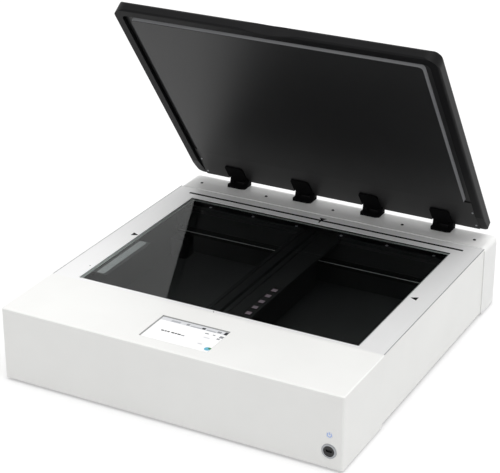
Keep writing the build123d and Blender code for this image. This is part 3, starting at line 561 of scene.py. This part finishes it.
# which finish goes on which piece of the frame
finishes = {
    whitePowderCoat: ["front_cover", "side_panel_left", "side_panel_right"],
    rearPowderCoat: ["rear_cover"],
    anodisedAluminium: ["platen_frame"],
    floatGlass: ["platen_glass"],
    matBlackPaint: ["scan_tub", "base_plate", "rod_supports", "rear_rail"],
    flockedBlack: ["slide_block", "carriage_body", "sensor_strip", "lamp_bars", "drive_belt"],
    zincPlate: ["hinge_beam", "power_supply", "lid_screws", "rail_screws"],
    groundSteel: ["guide_rod"],
    blackRubber: ["feet"],
    mouldedAbs: ["lid_shell"],
    padVinyl: ["lid_pad_film"],
    foamEdge: ["lid_pad_foam"],
    blackPhosphate: ["drive_motor", "strip_screws", "hinge_pins"]
    + [f"hinge_{part}_{i}" for part in ("base", "leaf") for i in (1, 2, 3, 4)],
    blackPlate: ["lid_backing_plate", "lid_hinge_plate"],
    blackAnodised: ["motor_pulley", "idler_pulley", "idler_bracket"],
    polishedRing: ["usb_bezel"],
    solderMask: ["main_board"],
    paleSilicone: ["glass_gasket"],
    paleCeramic: ["calibration_strip"],
    sinteredBronze: ["rod_bushes"],
    silveredGlass: ["folding_mirror"],
    greySheetAndGapShade: ["rear_panel"],
    coverGlass: ["touchscreen", "display_module"],
    frostedCap: ["power_button"],
}
named = {name for names in finishes.values() for name in names}
finishes[mouldedNylon] = sorted(set(nodes) - named)
for material, names in finishes.items():
    for name in names:
        nodes[name].data.materials.clear()
        nodes[name].data.materials.append(material)
print("frame dressed")


def flatShape(name, outline, lift, material, body, thickness=0.06, upAxis="z"):
    # a thin printed or lit shape: outline in casing millimetres, on top or on the front face
    mesh = bmesh.new()
    corners = []
    for level in (lift, lift + thickness):
        if upAxis == "z":
            corners.append([mesh.verts.new(place(x, y, level)) for x, y in outline])
        else:
            corners.append([mesh.verts.new(place(x, -level, z)) for x, z in outline])
    count = len(outline)
    mesh.faces.new(corners[1])
    mesh.faces.new(corners[0][::-1])
    for i in range(count):
        j = (i + 1) % count
        mesh.faces.new((corners[0][i], corners[0][j], corners[1][j], corners[1][i]))
    bmesh.ops.recalc_face_normals(mesh, faces=mesh.faces)
    data = bpy.data.meshes.new(name)
    mesh.to_mesh(data)
    mesh.free()
    data.materials.append(material)
    piece = bpy.data.objects.new(name, data)
    bpy.context.scene.collection.objects.link(piece)
    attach(piece, body)


def barOutline(x0, y0, x1, y1):
    return [(x0, y0), (x1, y0), (x1, y1), (x0, y1)]


def discOutline(x, y, radius, count=28):
    turns = [2 * math.pi * i / count for i in range(count)]
    return [(x + radius * math.cos(t), y + radius * math.sin(t)) for t in turns]


def arcOutline(x, y, inner, outer, start, end, count=22):
    steps = [math.radians(start + (end - start) * i / count) for i in range(count + 1)]
    rim = [(x + outer * math.cos(t), y + outer * math.sin(t)) for t in steps]
    return rim + [(x + inner * math.cos(t), y + inner * math.sin(t)) for t in reversed(steps)]


# picture on the touch panel, in layers: a pale page, its header bar, then keys and marks
display = {
    "left": -75.9,
    "right": 75.9,
    "front": 31.1,
    "back": 124.9,
    "surface": 155.05,
    "headerDepth": 15.0,
    "layer": 0.08,
}
pageLift, headerLift, keyLift, topLift = [
    display["surface"] + layer * display["layer"] for layer in range(4)
]
headerFront = display["back"] - display["headerDepth"]
flatShape(
    "display_page",
    barOutline(display["left"], display["front"], display["right"], display["back"]),
    pageLift,
    litDisplay["white"],
    "casing",
)
flatShape(
    "display_header",
    barOutline(display["left"], headerFront, display["right"], display["back"]),
    headerLift,
    litDisplay["pale grey"],
    "casing",
)
# rubber seal on the four walls of the recess round the touch glass; the wide strips at the left
# and back are painted shade of the recess walls
recess = {
    "halfWidth": 76.0,
    "front": 31.0,
    "back": 125.0,
    # width at the left and back, painted shade of the recess walls; lip is the thin seal at the
    # right and front
    "seal": 2.3,
    "lip": 0.5,
    "low": 155.0,
    "high": 156.8,
}
deep = recess["high"] - recess["low"]
edge = recess["halfWidth"]
for name, outline in {
    "left": barOutline(-edge, recess["front"], recess["seal"] - edge, recess["back"]),
    "right": barOutline(edge - recess["lip"], recess["front"], edge, recess["back"]),
    "front": barOutline(-edge, recess["front"], edge, recess["front"] + recess["lip"]),
    "back": barOutline(-edge, recess["back"] - recess["seal"], edge, recess["back"]),
}.items():
    flatShape(f"recess_shade_seal_{name}", outline, recess["low"], recessShadeRubber, "casing", thickness=deep)

# plain keys in the header bar, then on the page: tone, left, front, right, back
keys = [
    ("soft grey", -50.5, 111.6, -30.0, 117.5),
    ("grey", -16.5, 111.5, -9.5, 118.0),
    ("soft grey", -6.0, 110.0, 17.5, 114.5),
    ("dark", 18.5, 111.5, 26.0, 118.0),
    ("soft grey", 30.0, 110.0, 50.0, 114.5),
    ("grey", 52.5, 112.0, 61.0, 118.5),
    ("dark", 67.5, 110.5, 74.5, 121.5),
    ("grey", 33.0, 98.2, 41.5, 101.8),
    ("grey", 50.0, 98.5, 55.5, 102.0),
    ("grey", 65.5, 95.0, 73.5, 103.5),
    ("grey", 64.0, 87.5, 70.5, 92.5),
    ("pale grey", 38.0, 82.5, 51.5, 86.5),
    ("pale grey", 40.0, 55.5, 50.0, 60.5),
]
for number, (tone, *corners) in enumerate(keys):
    flatShape(
        f"display_key_{number}", barOutline(*corners), keyLift, litDisplay[tone], "casing"
    )
# dark bars where a message stands, left and right ends, with a paler last one
message = {
    "front": 70.0,
    "back": 74.2,
    "bars": [
        (-49.5, -43.0),
        (-41.5, -37.0),
        (-35.5, -30.5),
        (-26.5, -20.0),
        (-18.5, -14.0),
        (-12.5, -6.0),
    ],
    "last": (-4.5, 69.6, 3.0, 73.0),
}
for number, (x0, x1) in enumerate(message["bars"]):
    flatShape(
        f"display_bar_{number}",
        barOutline(x0, message["front"], x1, message["back"]),
        keyLift,
        litDisplay["dark"],
        "casing",
    )
flatShape(
    "display_bar_last", barOutline(*message["last"]), keyLift, litDisplay["grey"], "casing"
)
# round start mark, with a small green disc on it: x, y, radius
startMark = {"disc": (68.0, 46.5, 6.8), "centre": (71.5, 49.5, 3.2)}
flatShape(
    "start_mark", discOutline(*startMark["disc"]), keyLift, litDisplay["blue"], "casing"
)
flatShape(
    "start_mark_centre",
    discOutline(*startMark["centre"]),
    topLift,
    litDisplay["green"],
    "casing",
)
print("display drawn")

# ruler line along the back of the frame, with a pointer at its middle
ruler = {"left": -338.0, "right": 337.5, "y": 685.0, "width": 7.0}
inkLift = 156.02
flatShape(
    "ruler_line",
    barOutline(
        ruler["left"],
        ruler["y"] - ruler["width"] / 2,
        ruler["right"],
        ruler["y"] + ruler["width"] / 2,
    ),
    inkLift,
    screenInk,
    "casing",
)
pointer = {"head": 9.0, "stem": 2.0, "back": 698.0, "neck": 688.0, "front": 673.0}
flatShape(
    "ruler_centre_mark",
    [
        (-pointer["head"], pointer["back"]),
        (pointer["head"], pointer["back"]),
        (pointer["stem"], pointer["neck"]),
        (pointer["stem"], pointer["front"]),
        (-pointer["stem"], pointer["front"]),
        (-pointer["stem"], pointer["neck"]),
    ],
    inkLift,
    screenInk,
    "casing",
)
# arrows and small dots beside the glass
arrows = {"y": 427.0, "reach": 7.5, "left": -326.5, "right": 332.4}
for side, sign in (("left", 1), ("right", -1)):
    x, y, reach = arrows[side], arrows["y"], arrows["reach"]
    tip = sign * reach
    flatShape(
        f"middle_arrow_{side}",
        [(x + tip, y), (x - tip, y + reach), (x - tip, y - reach)],
        inkLift,
        screenInk,
        "casing",
    )
dots = {"radius": 1.5, "corners": 16, "at": [(-328.0, 248.0), (4.5, 184.7)]}
for number, (x, y) in enumerate(dots["at"]):
    outline = discOutline(x, y, dots["radius"], dots["corners"])
    flatShape(f"frame_dot_{number}", outline, inkLift, screenInk, "casing")
print("ruler printed")

# grey strips on the frame along both side panels: painted shade of the gap between the frame and
# the side panels
gapShadeStrip = {"inner": 374.4, "outer": 376.2, "front": 180.0, "back": 713.0, "level": 156.02}
for side, sign in (("left", -1), ("right", 1)):
    inner, outer = sign * gapShadeStrip["inner"], sign * gapShadeStrip["outer"]
    flatShape(
        f"frame_gap_shade_{side}",
        barOutline(inner, gapShadeStrip["front"], outer, gapShadeStrip["back"]),
        gapShadeStrip["level"],
        greySheetAndGapShade,
        "casing",
    )

# sensor windows in a row on the carriage
windows = {"x": 53.0, "middle": 298.0, "pitch": 28.5, "size": 11.5, "count": 5, "level": 138.02}
for number in range(windows["count"]):
    x = windows["x"]
    y = windows["middle"] + (number - (windows["count"] - 1) / 2) * windows["pitch"]
    half = windows["size"] / 2
    flatShape(
        f"sensor_window_{number + 1}",
        barOutline(x - half, y - half, x + half, y + half),
        windows["level"],
        rosySensor,
        "carriage",
    )
# upper edge of the belt's front run, painted pale as a reflection seen in the glass
beltReflectionLine = {"reach": 326.0, "y": 619.3, "width": 2.2, "level": 89.02}
flatShape(
    "belt_edge_painted_reflection",
    barOutline(
        -beltReflectionLine["reach"],
        beltReflectionLine["y"] - beltReflectionLine["width"] / 2,
        beltReflectionLine["reach"],
        beltReflectionLine["y"] + beltReflectionLine["width"] / 2,
    ),
    beltReflectionLine["level"],
    beltEdgeReflection,
    "casing",
)
print("seals, sensor windows and belt edge made")

# power mark on the button: an open ring, from and to in degrees, with a bar in its gap
powerMark = {
    "x": 349.0,
    "z": 70.5,
    "ring": 4.2,
    "line": 1.0,
    "from": 125,
    "to": 415,
    "barFoot": 0.5,
    "barTop": 5.6,
    "proud": 0.32,
}
markX, markZ, half = powerMark["x"], powerMark["z"], powerMark["line"] / 2
powerShapes = {
    "power_ring": arcOutline(
        markX,
        markZ,
        powerMark["ring"] - half,
        powerMark["ring"] + half,
        powerMark["from"],
        powerMark["to"],
    ),
    "power_bar": barOutline(
        markX - half,
        markZ + powerMark["barFoot"],
        markX + half,
        markZ + powerMark["barTop"],
    ),
}
for name, outline in powerShapes.items():
    flatShape(name, outline, powerMark["proud"], glowingMark, "button", upAxis="y")
print("power mark made")

# plain pale floor: white to the camera, with the scanner's own shadow
floorSpec = {"size": 24.0, "colour": "#c8c8c8", "lift": 0.42}
floorMaterial, floorTree = newMaterial("pale floor")
lift = addNode(
    floorTree,
    "ShaderNodeMapRange",
    {"To Max": floorSpec["lift"]},
    {"Value": seenDirectly(floorTree)},
)
floorBody = addNode(
    floorTree,
    "ShaderNodeBsdfPrincipled",
    {
        "Base Color": linear(floorSpec["colour"]),
        "Roughness": 0.9,
        "Specular IOR Level": 0.1,
        "Emission Color": linear("#ffffff"),
    },
    {"Emission Strength": lift.outputs["Result"]},
)
addNode(floorTree, "ShaderNodeOutputMaterial", {}, {"Surface": floorBody.outputs["BSDF"]})
floorMesh = bpy.data.meshes.new("floor")
half = floorSpec["size"] / 2
floorCorners = [(x, y, 0) for x, y in barOutline(-half, -half, half, half)]
floorMesh.from_pydata(floorCorners, [], [(0, 1, 2, 3)])
floorMesh.materials.append(floorMaterial)
floor = bpy.data.objects.new("floor", floorMesh)
bpy.context.scene.collection.objects.link(floor)

# the room: white to the camera, to gloss and through glass, and softer as a lamp
room = {"lampLevel": 0.8, "seenLevel": 1.0, "colour": "#ffffff"}
world = bpy.data.worlds.new("white room")
bpy.context.scene.world = world
world.use_nodes = True
worldTree = world.node_tree
worldTree.nodes.clear()
level = addNode(
    worldTree,
    "ShaderNodeMapRange",
    {"To Min": room["lampLevel"], "To Max": room["seenLevel"]},
    {"Value": seenDirectly(worldTree)},
)
sky = addNode(
    worldTree,
    "ShaderNodeBackground",
    {"Color": linear(room["colour"])},
    {"Strength": level.outputs["Result"]},
)
addNode(worldTree, "ShaderNodeOutputWorld", {}, {"Surface": sky.outputs["Background"]})

# one wide soft lamp above, from the right
overhead = {"strength": 1.22, "spreadDegrees": 50, "towards": (-0.30, 0.07, -0.95)}
lampData = bpy.data.lights.new("overhead", "SUN")
lampData.energy = overhead["strength"]
lampData.angle = math.radians(overhead["spreadDegrees"])
lamp = bpy.data.objects.new("overhead", lampData)
lamp.rotation_euler = Vector(overhead["towards"]).to_track_quat("-Z", "Y").to_euler()
bpy.context.scene.collection.objects.link(lamp)
print("lights set")

# camera: above the right front corner, long lens
view = {
    "azimuth": 27.99,
    "elevation": 24.69,
    "spot": (1433.3, -2349.5, 1657.9),
    "lens": 118.53,
    "sensorWidth": 36,
    "reach": 100,
}
azimuth, elevation = math.radians(view["azimuth"]), math.radians(view["elevation"])
backwards = Vector(
    (
        math.sin(azimuth) * math.cos(elevation),
        -math.cos(azimuth) * math.cos(elevation),
        math.sin(elevation),
    )
)
cameraData = bpy.data.cameras.new("camera")
cameraData.lens = view["lens"]
cameraData.sensor_width = view["sensorWidth"]
cameraData.clip_end = view["reach"]
camera = bpy.data.objects.new("camera", cameraData)
camera.location = place(*view["spot"])
camera.rotation_euler = (-backwards).to_track_quat("-Z", "Y").to_euler()
bpy.context.scene.collection.objects.link(camera)
bpy.context.scene.camera = camera
bpy.context.scene.view_settings.view_transform = "Standard"
print("camera set")
